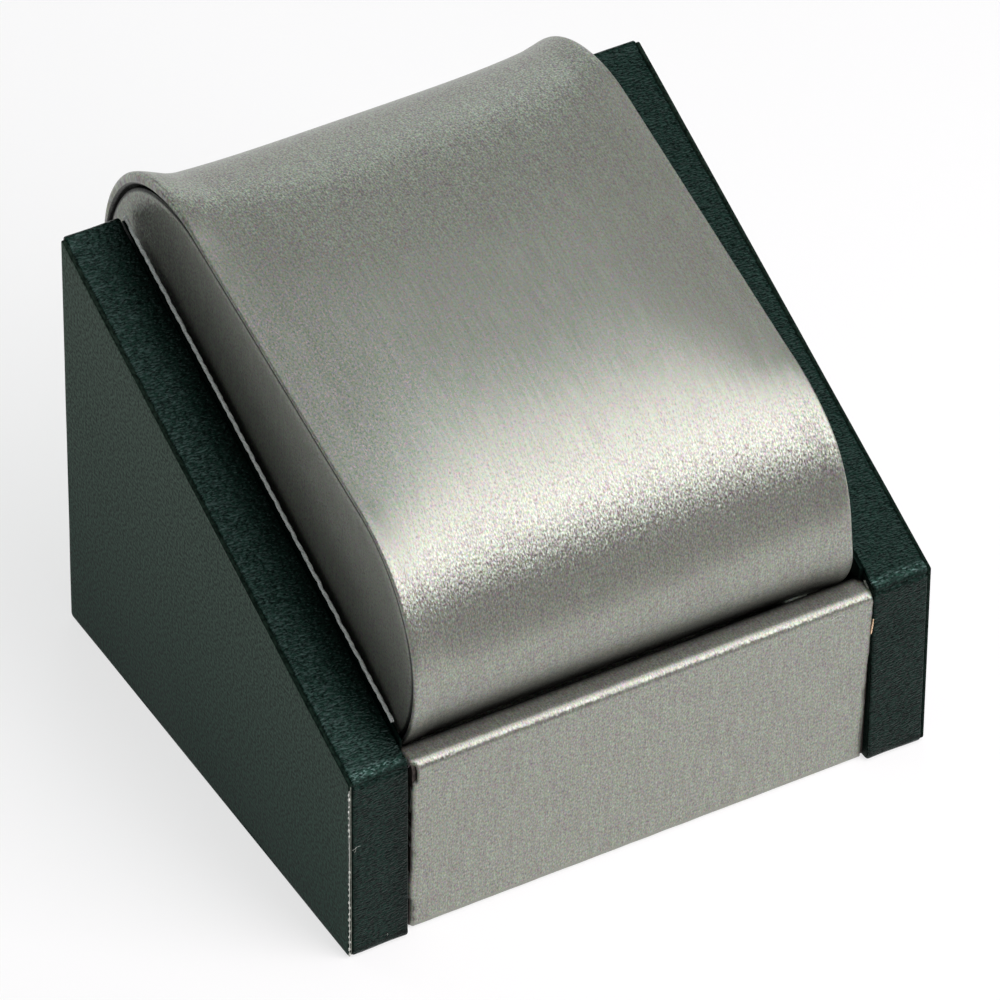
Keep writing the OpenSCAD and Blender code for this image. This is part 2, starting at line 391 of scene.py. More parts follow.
def satin_material(name, on_cloth=True, spread=(1, 0, 0)):
    """Grey satin: fine threads along the cloth, a broad sheen across them and small sparkles."""
    material = bpy.data.materials.new(name)
    tree, shader = nodes_of(material)
    grain = noise(tree, satin_coords(tree, SATIN_GRAIN, on_cloth), 1.0, output="Color")
    streaks = noise(tree, satin_coords(tree, SATIN_STREAKS, on_cloth))
    dark = [c * (1 - STREAK_DEPTH) for c in SATIN_COLOUR]
    light = [c * (1 + STREAK_DEPTH) for c in SATIN_COLOUR]
    cloth = ramp(tree, streaks, [(0.32, dark), (0.68, light)])
    weights = (GREY_WEIGHT, GREY_WEIGHT, GREY_WEIGHT)
    total = add(tree, "ShaderNodeVectorMath", {0: grain, 1: weights}, operation="DOT_PRODUCT")
    grey = add(tree, "ShaderNodeCombineXYZ", dict.fromkeys(range(3), total.outputs["Value"])).outputs[0]
    speckle = vector_math(tree, "MULTIPLY", vector_math(tree, "ADD", grain, grey), SPECKLE)
    speckle = vector_math(tree, "ADD", speckle, 1 - SPECKLE_MEAN * SPECKLE)
    feed(tree, shader, {
        "Base Color": shaded(tree, vector_math(tree, "MULTIPLY", cloth, speckle)),
        "Metallic": 0.55, "Anisotropic": 0.8, "Roughness": 0.38,
        "Normal": tilted(tree, grain, SATIN_TILT),
        "Tangent": add(tree, "ShaderNodeCombineXYZ", dict(enumerate(spread))).outputs[0],
    })
    return material


# Leatherette: wrinkles in a millimetre across and along the strip, the relief's height, and how
# far its pebbles differ in brightness
WRINKLES_PER_MM = (1.7, 4.4)
LEATHER_RELIEF = 0.25
PEBBLE_CONTRAST = 0.65


def leather_material(name, base, foot=None, wrinkles=0.0, pebbles=0.25, pebble_size=0.28,
                     rough=0.5, shine=0.22, tint=(0.35, 0.8, 0.65)):
    """Dark leatherette: fine pebbles, and where it is creased, short wrinkles across that glint, with
    light grains painted on their tops as glints and wear.

    With foot, its colour runs from foot at the floor to base at the panel's full height: painted
    shade, darker towards the floor.
    """
    material = bpy.data.materials.new(name)
    tree, shader = nodes_of(material)
    per_mm = 1 / pebble_size
    pebble = noise(tree, object_coords(tree, (per_mm, per_mm, per_mm)), 1.0, 0.45)
    relief = math_node(tree, "MULTIPLY", pebble, pebbles)
    if wrinkles:
        crease = noise(tree, cloth_coords(tree, WRINKLES_PER_MM), 1.0, 0.35, 0.3)
        relief = math_node(tree, "ADD", relief, math_node(tree, "MULTIPLY", crease, wrinkles))
    dark = [c * (1 - PEBBLE_CONTRAST) for c in base]
    light = [c * (1 + PEBBLE_CONTRAST) for c in base]
    colour = ramp(tree, pebble, [(0.35, dark), (0.65, light)])
    # Painted shade: the colour darker towards the floor
    if foot:
        height = math_node(tree, "DIVIDE", third(tree, object_place(tree)), PANEL_BACK_H * METRE)
        share = ramp(tree, height, [(0.0, [f / b for f, b in zip(foot, base)]), (1.0, (1, 1, 1))])
        colour = vector_math(tree, "MULTIPLY", colour, share)
    colour = shaded(tree, colour)
    if wrinkles:
        colour = glints_and_wear(tree, colour, crease)
    feed(tree, shader, {
        "Base Color": colour, "Normal": bumped(tree, relief, LEATHER_RELIEF), "Roughness": rough,
        "Specular IOR Level": shine, "Specular Tint": (*tint, 1),
    })
    return material


MATT = 0.8


def plain_material(name, dark, light, per_mm, depth=0.03):
    """A matt material mottled between two colours, such as board, card, foam, felt or thread."""
    material = bpy.data.materials.new(name)
    tree, shader = nodes_of(material)
    mottle = noise(tree, object_coords(tree, (per_mm, per_mm, per_mm)), 4.0, 0.65)
    colour = ramp(tree, mottle, [(0.35, dark), (0.65, light)])
    normal = bumped(tree, mottle, depth, 0.5)
    feed(tree, shader, {"Base Color": colour, "Normal": normal, "Roughness": MATT})
    return material


SATIN = satin_material("satin")
SATIN_FLAT = satin_material("satin_flat", on_cloth=False)
SATIN_CAP = satin_material("satin_cap", spread=(0, 1, 0))
# The outer sheets' leatherette: the strips' leatherette given a lighter colour, which paints in the white
# floor's reflection on the outer faces, and painted shade darkening it towards the floor, where that
# reflected floor lies in shadow
LEATHER = leather_material(
    "leatherette", (0.046, 0.076, 0.056), foot=(0.005, 0.026, 0.017), pebbles=0.2, pebble_size=0.4,
    shine=0.06,
)
# The lining's leatherette, darker than the strips': painted shade for the dark gaps beside the cushion
LINING = leather_material("leatherette_lining_painted_shade", (0.003, 0.008, 0.006), shine=0.08)
LEATHER_STRIP = leather_material(
    "leatherette_strip", (0.0045, 0.013, 0.0098), wrinkles=0.7, pebbles=0.12, pebble_size=0.35,
    rough=0.2, shine=0.09, tint=(0.62, 0.92, 0.85),
)
YARN = plain_material("yarn", (0.7, 0.76, 0.73), (1.0, 1.0, 0.98), 3.2, depth=0.02)
THREAD = plain_material("thread", (0.36, 0.38, 0.34), (0.62, 0.65, 0.60), 2.2, depth=0.02)
# Bare board: given the dark colour of its end in the hole at the front board's left, as painted shade; the
# board chip shows the same wood in light
BOARD = plain_material("bare_board", (0.012, 0.009, 0.007), (0.045, 0.033, 0.026), 2.0)
CARD = plain_material("card", (0.50, 0.46, 0.38), (0.62, 0.58, 0.50), 3.0)
FOAM = plain_material("foam", (0.62, 0.58, 0.46), (0.74, 0.70, 0.58), 3.0)
FELT = plain_material("felt", (0.008, 0.016, 0.013), (0.02, 0.035, 0.03), 6.0)
SHEET_BACKING = plain_material("sheet_backing", (0.07, 0.08, 0.065), (0.16, 0.17, 0.14), 2.5)
CHIP = plain_material("board_chip", (0.60, 0.40, 0.24), (0.85, 0.62, 0.42), 3.0)
BACKING = plain_material("backing", (0.25, 0.26, 0.24), (0.80, 0.80, 0.76), 3.5)


# Panels

WEDGE = [(FRONT_Y, 0), (BACK_Y, 0), (BACK_Y, PANEL_BACK_H), (FRONT_Y, PANEL_FRONT_H)]
PANEL_SLOPE = unit(np.subtract(WEDGE[2], WEDGE[3]))
PANEL_UP = np.array([-PANEL_SLOPE[1], PANEL_SLOPE[0]])
PANEL_STEP = 0.5


def refine(ring, centre, reach, step):
    """Adds points to a closed outline near a place, at most step apart."""
    points = []
    for i, point in enumerate(ring):
        after = ring[(i + 1) % len(ring)]
        count = 1
        if np.linalg.norm((point + after) / 2 - centre) < reach:
            count = max(1, math.ceil(np.linalg.norm(after - point) / step))
        points += [point + (after - point) * k / count for k in range(count)]
    return np.array(points)


def band(name, side, ring, profile, material, replaces, lift, painted_light_and_wear):
    """Sweeps a closed profile of (distance from the middle, height over the ring) round an outline.

    lift gives its relief, and the second function how painted shade darkens it and painted glints
    and wear lighten it, by place across and along the strip.
    """
    normals = outward(ring)
    across, height = np.array(profile).T
    x, n = np.meshgrid(across, arc_lengths(ring), indexing="ij")
    rise = height[:, None] + lift(x, n) * (height[:, None] > -STRIP_EDGE_R - 0.05)
    y = ring[:, 0] + rise * normals[:, 0]
    z = ring[:, 1] + rise * normals[:, 1]
    verts = np.stack([side * x, y, z], -1).reshape(-1, 3)
    faces = grid_faces(len(profile), len(ring), close_rows=True, close_cols=True)
    if side > 0:
        faces = [f[::-1] for f in faces]
    place = np.stack([x, n, painted_light_and_wear(x, n)], -1).reshape(-1, 3)
    return make_piece(name, verts, faces, material, replaces, place)


def arc_profile(centre, radius, start, stop, count):
    angles = np.radians(np.linspace(start, stop, count))
    return [(centre[0] + radius * math.cos(a), centre[1] + radius * math.sin(a)) for a in angles]


STRIP_EDGE_R = 0.25
STRIP_SWELL = 0.03
TOP_CORNER_R = 0.3
TOP_CORNER_RISE = 0.35
TOP_CORNER_SPREAD = 0.9

# The fold at the top of a panel's front: its ridge, the groove above it, and its worn spot, which is
# also lightened as a painted highlight. Painted glints on the left and right slopes, and painted
# shade beside the left liner and over the whole right strip
FOLD_RIDGE, FOLD_GROOVE, FOLD_WEAR_AND_HIGHLIGHT = 0.14, 0.20, 1.1
LEFT_GLINTS, RIGHT_GLINTS = 0.32, 0.05
LEFT_INNER_SHADE, RIGHT_INNER_SHADE = 0.6, 0.15


def edge_strip(side, name):
    """The leatherette strip round a panel, its edges softly rounded and its front fold worn, with a
    painted highlight on that fold, painted glints on its slope and painted shade.
    """
    x_in, x_out, r = INNER_X, STAND_W / 2 - LEATHER_T, STRIP_EDGE_R
    profile = [(x_in, -LEATHER_T)]
    profile += arc_profile((x_in + r, -r), r, 180, 90, 6)
    profile += [(x, 0) for x in np.linspace(x_in + r, x_out - r, 16)[1:-1]]
    profile += arc_profile((x_out - r, -r), r, 90, 0, 6)
    profile += [(x_out, -LEATHER_T)]
    radii = [PANEL_CORNER_R, PANEL_CORNER_R, TOP_CORNER_R, PANEL_CORNER_R]
    ring = refine(outline(WEDGE, radii, PANEL_STEP), np.array(WEDGE[3]), 2.2, 0.12)
    along = arc_lengths(ring)
    top, fold = (along[np.argmin(np.linalg.norm(ring - np.array(WEDGE[k]), axis=1))] for k in (2, 3))

    def lift(x, n):
        ridge = FOLD_RIDGE * bell(n - fold + 0.5, 0.45)
        groove = FOLD_GROOVE * bell(n - fold - 0.6, 0.25)
        corner = TOP_CORNER_RISE * bell(n - top, TOP_CORNER_SPREAD)
        swell = STRIP_SWELL * ripple(np.stack([x, n], -1), 9.0, 11 + side)
        return swell + ridge - groove + corner

    # Painted light as the third number of cloth_place: glints on the slope, shade beside the left liner and
    # over all of the right strip, and the fold's worn spot, which is also a painted highlight
    def painted_light_and_wear(x, n):
        patches = 1 + 0.5 * ripple(np.stack([x, n], -1), 1.5, 15 + side)
        wear_and_highlight = FOLD_WEAR_AND_HIGHLIGHT * bell(n - fold + 0.75, 0.6) * patches
        glints, inner = RIGHT_GLINTS, RIGHT_INNER_SHADE
        if side < 0:
            glints = LEFT_GLINTS * np.clip((x - INNER_X - 1.0) / 3.5, 0, 1)
            inner = LEFT_INNER_SHADE * bell(x - INNER_X, 2.2)
        on_slope = np.clip((fold - n) / 0.6, 0, 1) * (n > top)
        return inner - on_slope * glints - wear_and_highlight

    return band(f"{name}_side_wrap", side, ring, profile, LEATHER_STRIP,
                [f"{name}_side_edge_strip"], lift, painted_light_and_wear)


def plate(name, side, corners, radii, x_back, x_face, edge_r, material, replaces=(),
          waves=0.0, seed=1, depths=(0.5, 1.0, 2.0, 3.5, 5.5, 8.0)):
    """A flat sheet with rounded edges on its outer face, filled by rings and a middle polygon.

    The third number of cloth_place marks its rim, where the leatherette materials paint shade.
    """
    ring = outline(corners, radii, PANEL_STEP)
    normals = outward(ring)
    count = len(ring)
    out = np.sign(x_face - x_back)
    steps = [(x_back, 0.0), (x_face - edge_r * out, 0.0)]
    steps += [(x_face - short * out, depth) for depth, short in quarter(edge_r, 5)[1:]]
    steps += [(x_face, max(depth, edge_r)) for depth in depths]
    verts, place = [], []
    for x, depth in steps:
        inner = ring - normals * depth
        if depth >= 0.5:
            smaller = [max(r - depth, 0.1) for r in radii]
            inner = resample(outline(inset_corners(corners, depth), smaller, PANEL_STEP), count)
        on_rim = depth < edge_r * 0.9
        bulge = 0.0 if on_rim else waves * ripple(inner, 25.0, seed)
        verts.append(np.column_stack([np.full(count, side * x) + side * bulge, inner]))
        place.append(np.column_stack([inner, np.full(count, RIM_SHADE * on_rim)]))
    faces = tube_faces(len(steps), count)
    if side * out < 0:
        faces = [f[::-1] for f in faces]
    return make_piece(name, verts, faces, material, replaces, place)


def resample(points, count):
    """A closed outline with count points at even distances, starting where it starts."""
    closed = np.vstack([points, points[:1]])
    along = np.concatenate([[0], np.cumsum(np.linalg.norm(np.diff(closed, axis=0), axis=1))])
    targets = np.linspace(0, along[-1], count + 1)[:-1]
    return np.column_stack([np.interp(targets, along, closed[:, k]) for k in range(2)])


SHEET_SHOWN_MARGIN = 0.15
# Painted shade on the sheets' rims
RIM_SHADE = 0.8


def outer_sheet(side, name):
    corners = inset_corners(WEDGE, SHEET_SHOWN_MARGIN)
    corners[2] = corners[2] + [0, TOP_CORNER_RISE]
    radii = [PANEL_CORNER_R - SHEET_MARGIN, PANEL_CORNER_R - SHEET_MARGIN, TOP_CORNER_R, TOP_CORNER_R]
    return plate(f"{name}_side_face", side, corners, radii,
                 STAND_W / 2 - LEATHER_T, STAND_W / 2, 0.14, LEATHER,
                 [f"{name}_side_outer_sheet"], 0.03, 21 + side)


def liner(side, name):
    """The lining on a panel's inner face: leatherette, darkened as painted shade, on a white cloth backing.
    """
    slope_start = np.array(WEDGE[3]) + LINER_PROUD * PANEL_UP
    back_edge = BACK_Y - SHEET_MARGIN
    front_edge = FRONT_Y + max(FRONT_FOOT_RECESS, FRONT_TOP_RECESS) + FRONT_T + SATIN_T
    corners = [
        (front_edge, SHEET_MARGIN), (back_edge, SHEET_MARGIN),
        meet(slope_start, PANEL_SLOPE, (back_edge, 0), (0, 1)),
        meet(slope_start, PANEL_SLOPE, (front_edge, 0), (0, 1)),
    ]
    radii = [PANEL_CORNER_R, PANEL_CORNER_R, TOP_CORNER_R, 0.5]
    split = INNER_X - 0.18
    skin = plate(f"{name}_liner_skin", side, corners, radii, split, LINING_X, 0.12,
                 LINING, [f"{name}_side_liner"])
    inner = inset_corners(corners, 1.2)
    backing = plate(f"{name}_liner_backing", side, inner, [0.5] * 4, INNER_X, split, 0.02,
                    BACKING)
    return skin, backing


def slope_z(y, rise=0.0):
    """Height of the panel's slope at y, raised square to it by rise."""
    start = np.array(WEDGE[3]) + rise * PANEL_UP
    return start[1] + (y - start[0]) * PANEL_SLOPE[1] / PANEL_SLOPE[0]


FLAP_T = 0.06
TAB_FRONT = 2.7


def inner_flap(side, name):
    """The strip's leatherette turned in over the panel's inner face, beside the front board's end."""
    y0, y1 = FRONT_Y + SHEET_MARGIN, FRONT_Y + 6.5
    corners = [(y0, SHEET_MARGIN), (y1, SHEET_MARGIN), (y1, slope_z(y1) - 0.5), (y0, slope_z(y0) - 0.5)]
    depths = (0.5, 1.0, 2.0)
    plate(f"{name}_inner_flap", side, corners, [0.4] * 4, INNER_X, INNER_X - FLAP_T, 0.02,
          LINING, depths=depths)
    y0, y1, z = FRONT_Y + TAB_FRONT, FRONT_Y + 6.0, FRONT_H + 0.35
    corners = [(y0, z), (y1, z), (y1, slope_z(y1, LINER_PROUD)), (y0, slope_z(y0, LINER_PROUD))]
    plate(f"{name}_liner_tab", side, corners, [0.2, 0.1, 0.1, 0.5], INNER_X - FLAP_T, LINING_X, 0.1,
          LINING, depths=(0.3, 0.5))


def tubes(name, paths, radius, material, sides=6):
    """Thin fibres: each path is a list of points, and all of them make one piece."""
    verts, faces = [], []
    for path in paths:
        path = np.asarray(path, float)
        ahead = unit(np.gradient(path, axis=0))
        side_way = unit(np.cross(ahead, [0.3, 0.5, 0.8]))
        up_way = np.cross(side_way, ahead)
        faces += tube_faces(len(path), sides, len(verts))
        for point, u, v in zip(path, side_way, up_way):
            for k in range(sides):
                angle = 2 * math.pi * k / sides
                verts.append(point + radius * (math.cos(angle) * u + math.sin(angle) * v))
    return make_piece(name, verts, faces, material)


YARN_R = 0.2
YARN_X = INNER_X - 0.58
YARN_FRONT = {-1: 5.0, 1: 14.0}
YARN_TURN = 2.6
YARN_SWING = 0.08
YARN_RISE = 0.22


def liner_yarns(side, name):
    """Two white threads, the raw edge of the liner's backing, that wander up the panel's slope."""
    y = np.linspace(FRONT_Y + YARN_FRONT[side], BACK_Y - 0.15, 260)
    tip = TOP_CORNER_RISE * bell(y - BACK_Y, TOP_CORNER_SPREAD)
    paths = []
    for k in (0, 1):
        turn = 2 * math.pi * y / YARN_TURN + math.pi * k + 0.8 * ripple(y[:, None], 9.0, 51 + k)
        rise = YARN_RISE + 0.04 * np.cos(turn) + 0.02 * ripple(y[:, None], 1.1, 61 + k) + tip
        x = side * (YARN_X + YARN_SWING * np.sin(turn))
        paths.append(np.column_stack([x, y - rise * PANEL_SLOPE[1], slope_z(y) + rise * PANEL_SLOPE[0]]))
    tubes(f"{name}_liner_yarns", paths, YARN_R, YARN)


# The threads' ends in the outer sheet's cut edge: half their size each way, and where they are worn
RAW_DOT_STEP = 0.95
RAW_DOT = (0.13, 0.11, 0.22)
RAW_WORN_FROM, RAW_WORN_TO, RAW_WORN_SIZE = 14.8, 18.8, 0.3


def raw_edge(side, name):
    """The outer sheet's cut front edge: a backing, a thin line and the ends of its threads."""
    front = FRONT_Y + SHEET_SHOWN_MARGIN
    left = -STAND_W / 2
    rng = np.random.default_rng(81)
    z = np.arange(0.6, PANEL_FRONT_H - 0.9, RAW_DOT_STEP)
    z = z + rng.uniform(-0.12, 0.12, len(z))
    x = left + 0.04 + rng.uniform(-0.04, 0.04, len(z))
    verts, faces = [], []
    for cx, cz in zip(x, z):
        size = rng.uniform(0.8, 1.3) * (RAW_WORN_SIZE if RAW_WORN_FROM < cz < RAW_WORN_TO else 1.0)
        faces += tube_faces(4, 8, len(verts))
        for lat in np.radians([-60, -20, 20, 60]):
            for lon in np.radians(range(0, 360, 45)):
                way = (math.cos(lat) * math.cos(lon), math.cos(lat) * math.sin(lon), math.sin(lat))
                verts.append(np.array([cx, front + 0.02, cz]) + size * np.multiply(RAW_DOT, way))
    make_piece(f"{name}_raw_threads", verts, faces, THREAD)
    z = np.linspace(0.6, PANEL_FRONT_H - 1.0, 90)
    line = np.column_stack([left + 0.07 + 0.02 * ripple(z[:, None], 2.0, 83), z * 0 + front + 0.02, z])
    tubes(f"{name}_raw_line", [line], 0.045, THREAD)
    corners = [
        (front - 0.03, 0.5), (front + 0.3, 0.5),
        (front + 0.3, PANEL_FRONT_H - 0.4), (front - 0.03, PANEL_FRONT_H - 0.5),
    ]
    plate(f"{name}_sheet_backing", side, corners, [0.1] * 4, STAND_W / 2 - 0.33, STAND_W / 2 - 0.2, 0.02,
          SHEET_BACKING, depths=(0.1,))


# Front board

def front_face_y(z):
    lean = (FRONT_FOOT_RECESS - FRONT_TOP_RECESS) / (FRONT_H - FOOT_GAP)
    return FRONT_Y + FRONT_TOP_RECESS + (FRONT_H - z) * lean


FRONT_CORNERS = [
    (front_face_y(FOOT_GAP), FOOT_GAP), (front_face_y(FOOT_GAP) + FRONT_T, FOOT_GAP),
    (front_face_y(FRONT_H) + FRONT_T, FRONT_H), (front_face_y(FRONT_H), FRONT_H),
]
FRONT_RADII = [FRONT_FOOT_R, FRONT_FOOT_R, 0.8, FRONT_TOP_R]
TURN_R = 0.55
TURNED_IN = 1.7
BOARD_SWELL = 0.012


def wrapped(name, corners, radii, x_left, x_right, node, step=0.35, seed=31, trim=None, shade=0.0):
    """Satin wrapped round a board, its ends turned in over the board's ends."""
    ring = outline(corners, radii, step)
    normals = outward(ring)
    along = arc_lengths(ring)
    r = TURN_R
    ends = quarter(r, 6)
    outer = [(x_left, TURNED_IN)] + [(x_left + dx, depth) for dx, depth in ends]
    outer += [(x, 0.0) for x in np.linspace(x_left + r, x_right - r, 130)[1:-1]]
    outer += [(x_right - dx, depth) for dx, depth in reversed(ends)] + [(x_right, TURNED_IN)]
    thick = SATIN_T - 0.02
    inner = [(x_right - thick, TURNED_IN), (x_right - thick, thick)]
    inner += [(x_left + thick, thick), (x_left + thick, TURNED_IN)]
    verts, place = [], []
    for x, depth in outer + inner:
        at_x = np.full(len(ring), x)
        depths = np.full(len(ring), depth)
        if depth == 0:
            depths -= BOARD_SWELL * ripple(np.column_stack([at_x, along]), 5.0, seed)
        shift = trim(ring, x < 0) if trim and min(x - x_left, x_right - x) < r else 0.0
        verts.append(np.column_stack([at_x + shift, ring - normals * depths[:, None]]))
        place.append(np.column_stack([at_x, along, along * 0 + shade]))
    faces = grid_faces(len(outer) + len(inner), len(ring), close_rows=True, close_cols=True)
    piece = make_piece(name, verts, faces, SATIN, [node], place)
    return piece


def swept(name, ring, x_left, x_right, material, node, edge_r=0.1):
    """An outline carried along X, closed at its ends."""
    normals = outward(ring)
    along = arc_lengths(ring)
    stations = [(x_left, edge_r), (x_left + edge_r, 0.0)]
    stations += [(x, 0.0) for x in np.linspace(x_left + edge_r, x_right - edge_r, 60)[1:-1]]
    stations += [(x_right - edge_r, 0.0), (x_right, edge_r)]
    verts, place = [], []
    for x, depth in stations:
        at_x = np.full(len(ring), x)
        verts.append(np.column_stack([at_x, ring - normals * depth]))
        place.append(np.column_stack([at_x, along, along * 0]))
    faces = tube_faces(len(stations), len(ring))
    return make_piece(name, verts, faces, material, [node], place, 40)


# Where the cloth's left and right ends waver, by height: how far right of the board's end they lie
LEFT_TRIM = [
    (0, 0.14), (4.5, 0.16), (5.5, -0.1), (7.5, -0.13), (8.5, 0.03), (10.5, 0.15), (12.5, 0.15),
    (14, 0.05), (18, 0.1), (21, 0.0), (24, 0.08), (25, 0.03), (27, -0.08),
]
RIGHT_TRIM = [
    (0, -0.3), (4, -0.25), (9, -0.12), (11, -0.2), (13, -0.05), (15, -0.1), (17, 0.08), (22, 0.12),
    (24, 0.2), (27, 0.25),
]


END_CLEAR = 0.07
HOLE = (FRONT_Y + 0.2, 25.5)
HOLE_REACH = (0.9, 1.6)
HOLE_W = 0.85


def cloth_end(ring, left):
    """How far the cloth's end is shifted along X; the left end also has a small hole near the top."""
    table = np.array(LEFT_TRIM if left else RIGHT_TRIM).T
    wave = np.interp(ring[:, 1], *table) + 0.03 * ripple(ring, 1.6, 71 if left else 72)
    if not left:
        return wave
    away = np.linalg.norm((ring - np.array(HOLE)) / HOLE_REACH, axis=1)
    return wave + HOLE_W * np.clip(2.5 - 2.5 * away, 0, 1) * (1 + 0.25 * ripple(ring, 0.9, 73))


# Painted shade in the crease where the cushion leans on the front board's top: where it lies, how
# far it fades and how dark it is
BOARD_CREASE_Y = FRONT_Y + 3.9
BOARD_CREASE_W = 0.8
BOARD_CREASE_SHADE = 0.96


def front_cover():
    ring = outline(FRONT_CORNERS, FRONT_RADII, 0.35)
    # Painted shade on the board's top behind the cushion's crease
    away = np.maximum(BOARD_CREASE_Y - ring[:, 0], 0)
    shade = np.where(ring[:, 1] > FRONT_H - 2, BOARD_CREASE_SHADE * bell(away, BOARD_CREASE_W), 0.0)
    return wrapped("front_board_satin", FRONT_CORNERS, FRONT_RADII, -INNER_X + FRONT_LEFT_GAP - END_CLEAR,
                   INNER_X - FRONT_RIGHT_GAP + END_CLEAR, "front_board_cover",
                   trim=cloth_end, shade=shade)


def on_board_face(points, off=0.04):
    """Points (x, z) laid on the front board's face."""
    return [(x, front_face_y(z) - off, z) for x, z in points]


def curl(x, z, size, seed):
    """A short curly thread: points (x, z) of a wandering line."""
    rng = np.random.default_rng(seed)
    t = np.linspace(0, 1, 24)
    bend = rng.uniform(-2.5, 2.5, 3)
    angle = rng.uniform(-0.5, 0.5) + bend[0] * t + bend[1] * np.sin(3 * t) + bend[2] * t * t
    step = size / len(t)
    return [(x + a, z + b) for a, b in zip(np.cumsum(np.cos(angle)) * step, np.cumsum(np.sin(angle)) * step)]


# Loose threads and hairs: where each starts, its length and its curl's seed
THREADS = [
    (24.6, 24.3, 2.4, 5), (26.2, 24.9, 1.8, 8), (27.3, 24.6, 3.2, 13), (25.4, 22.0, 0.9, 21),
    (-8.0, 9.0, 0.6, 3), (12.0, 15.5, 0.5, 55), (5.0, 4.5, 0.5, 62), (-22.0, 12.0, 0.5, 64),
]
HAIRS = [(-39.7, 17.4, 1.2, 90), (-39.4, 17.0, 0.9, 91), (-34.9, 1.9, 0.3, 92)]


def small_marks():
    """Loose threads on the front board, hairs on the left panel, a board chip and a liner scrap."""
    threads = [on_board_face(curl(*thread)) for thread in THREADS]
    tubes("loose_threads", threads, 0.024, THREAD, 5)
    hairs = [[(x, FRONT_Y - 0.05, z) for x, z in curl(*hair)] for hair in HAIRS]
    tubes("hairs", hairs, 0.014, THREAD, 5)
    right = INNER_X - FRONT_RIGHT_GAP
    heights = np.linspace(20.6, 22.9, 12)
    chip = [(right + 0.08 + 0.12 * (z - 21.5), front_face_y(z) - 0.02, z) for z in heights]
    tubes("board_chip", [chip], 0.11, CHIP, 8)
    x, y, z = INNER_X - FLAP_T, FRONT_Y + 2.3, FRONT_H + 0.15
    verts = [(x, y - 1.1, z - 0.1), (x, y, z - 0.5), (x, y - 0.1, z + 0.5)]
    verts += [(x - 0.25, v[1], v[2]) for v in verts]
    faces = [(0, 2, 1), (3, 4, 5), (0, 1, 4, 3), (1, 2, 5, 4), (2, 0, 3, 5)]
    make_piece("right_liner_scrap", verts, faces, SHEET_BACKING, crease=30)


# Seat, back and base

SEAT_DIR = np.array([math.cos(math.radians(SEAT_SLOPE)), math.sin(math.radians(SEAT_SLOPE))])
SEAT_NORMAL = np.array([-SEAT_DIR[1], SEAT_DIR[0]])
SEAT_START = np.array([front_face_y(SEAT_FRONT_H) + FRONT_T, SEAT_FRONT_H])
SEAT_T = 2.8
BACK_FACE_Y = BACK_Y - BACK_RECESS
FELT_T = 0.5


def seat_point(y, depth):
    return meet(SEAT_START - depth * SEAT_NORMAL, SEAT_DIR, (y, 0), (0, 1))


def seat_front(depth):
    return meet(SEAT_START - depth * SEAT_NORMAL, SEAT_DIR, FRONT_CORNERS[1],
                np.subtract(FRONT_CORNERS[2], FRONT_CORNERS[1]))


def seat_and_back():
    """The satin over the seat and the back board, and the felt under the base."""
    end = BACK_FACE_Y - SATIN_T
    corners = [
        seat_point(BACK_FACE_Y, 0), seat_front(0), seat_front(SATIN_T),
        seat_point(end, SATIN_T), seat_point(end, SEAT_T), seat_point(BACK_FACE_Y, SEAT_T),
    ]
    strip = outline(corners, [0.7, 0.1, 0.1, 0.35, 0.1, 0.1], 0.6)
    seat = swept("seat_satin", strip, -LINING_X, LINING_X, SATIN, "seat_cover")
    back = [
        (BACK_FACE_Y - BACK_T, FOOT_GAP), (BACK_FACE_Y, FOOT_GAP),
        seat_point(BACK_FACE_Y, SEAT_T), seat_point(BACK_FACE_Y - BACK_T, SEAT_T),
    ]
    wrapped("back_board_satin", back, [0.6, 0.7, 0.5, 0.5], -LINING_X, LINING_X,
            "back_board_cover", 0.5, 37)
    low, high = FOOT_GAP, FOOT_GAP + FELT_T
    foot = [
        (front_face_y(low) + FRONT_T, low), (BACK_FACE_Y - BACK_T, low),
        (BACK_FACE_Y - BACK_T, high), (front_face_y(high) + FRONT_T, high),
    ]
    ring = outline(foot, [0.2] * 4, 1.0)
    felt = swept("base_felt_sheet", ring, -LINING_X, LINING_X, FELT, "base_felt")


# Cushion

LIP_TRACK = SEAT_START + (FRONT_R + REST_GAP) * SEAT_NORMAL
EDGE_CENTRE = np.array([front_face_y(FRONT_H) + FRONT_T - FRONT_TOP_R, FRONT_H - FRONT_TOP_R])
EDGE_OFFSET = EDGE_CENTRE - LIP_TRACK
EDGE_REACH = FRONT_R + FRONT_TOP_R + REST_GAP
FRONT_CENTRE = LIP_TRACK + SEAT_DIR * (
    EDGE_OFFSET @ SEAT_DIR + math.sqrt(EDGE_REACH ** 2 - (EDGE_OFFSET @ SEAT_NORMAL) ** 2)
)
TAPER = math.asin((FRONT_R - BACK_R) / SPAN)
SLOPE = math.radians(SEAT_SLOPE) - TAPER
BACK_CENTRE = FRONT_CENTRE + SPAN * np.array([math.cos(SLOPE), math.sin(SLOPE)])
CROWN = 3.8
CROWN_SHOULDER = 10.5
LIP_R = 0.6
WAIST_ENDS = (0.95, 1.55)
PRESSED_SHARE = 0.75
# Corners round the sleeve, and how many of them each smoothing spans
AROUND = 480
ANGLE_BLUR = 25
OFFSET_BLUR = 13
EASE_SPAN = 27


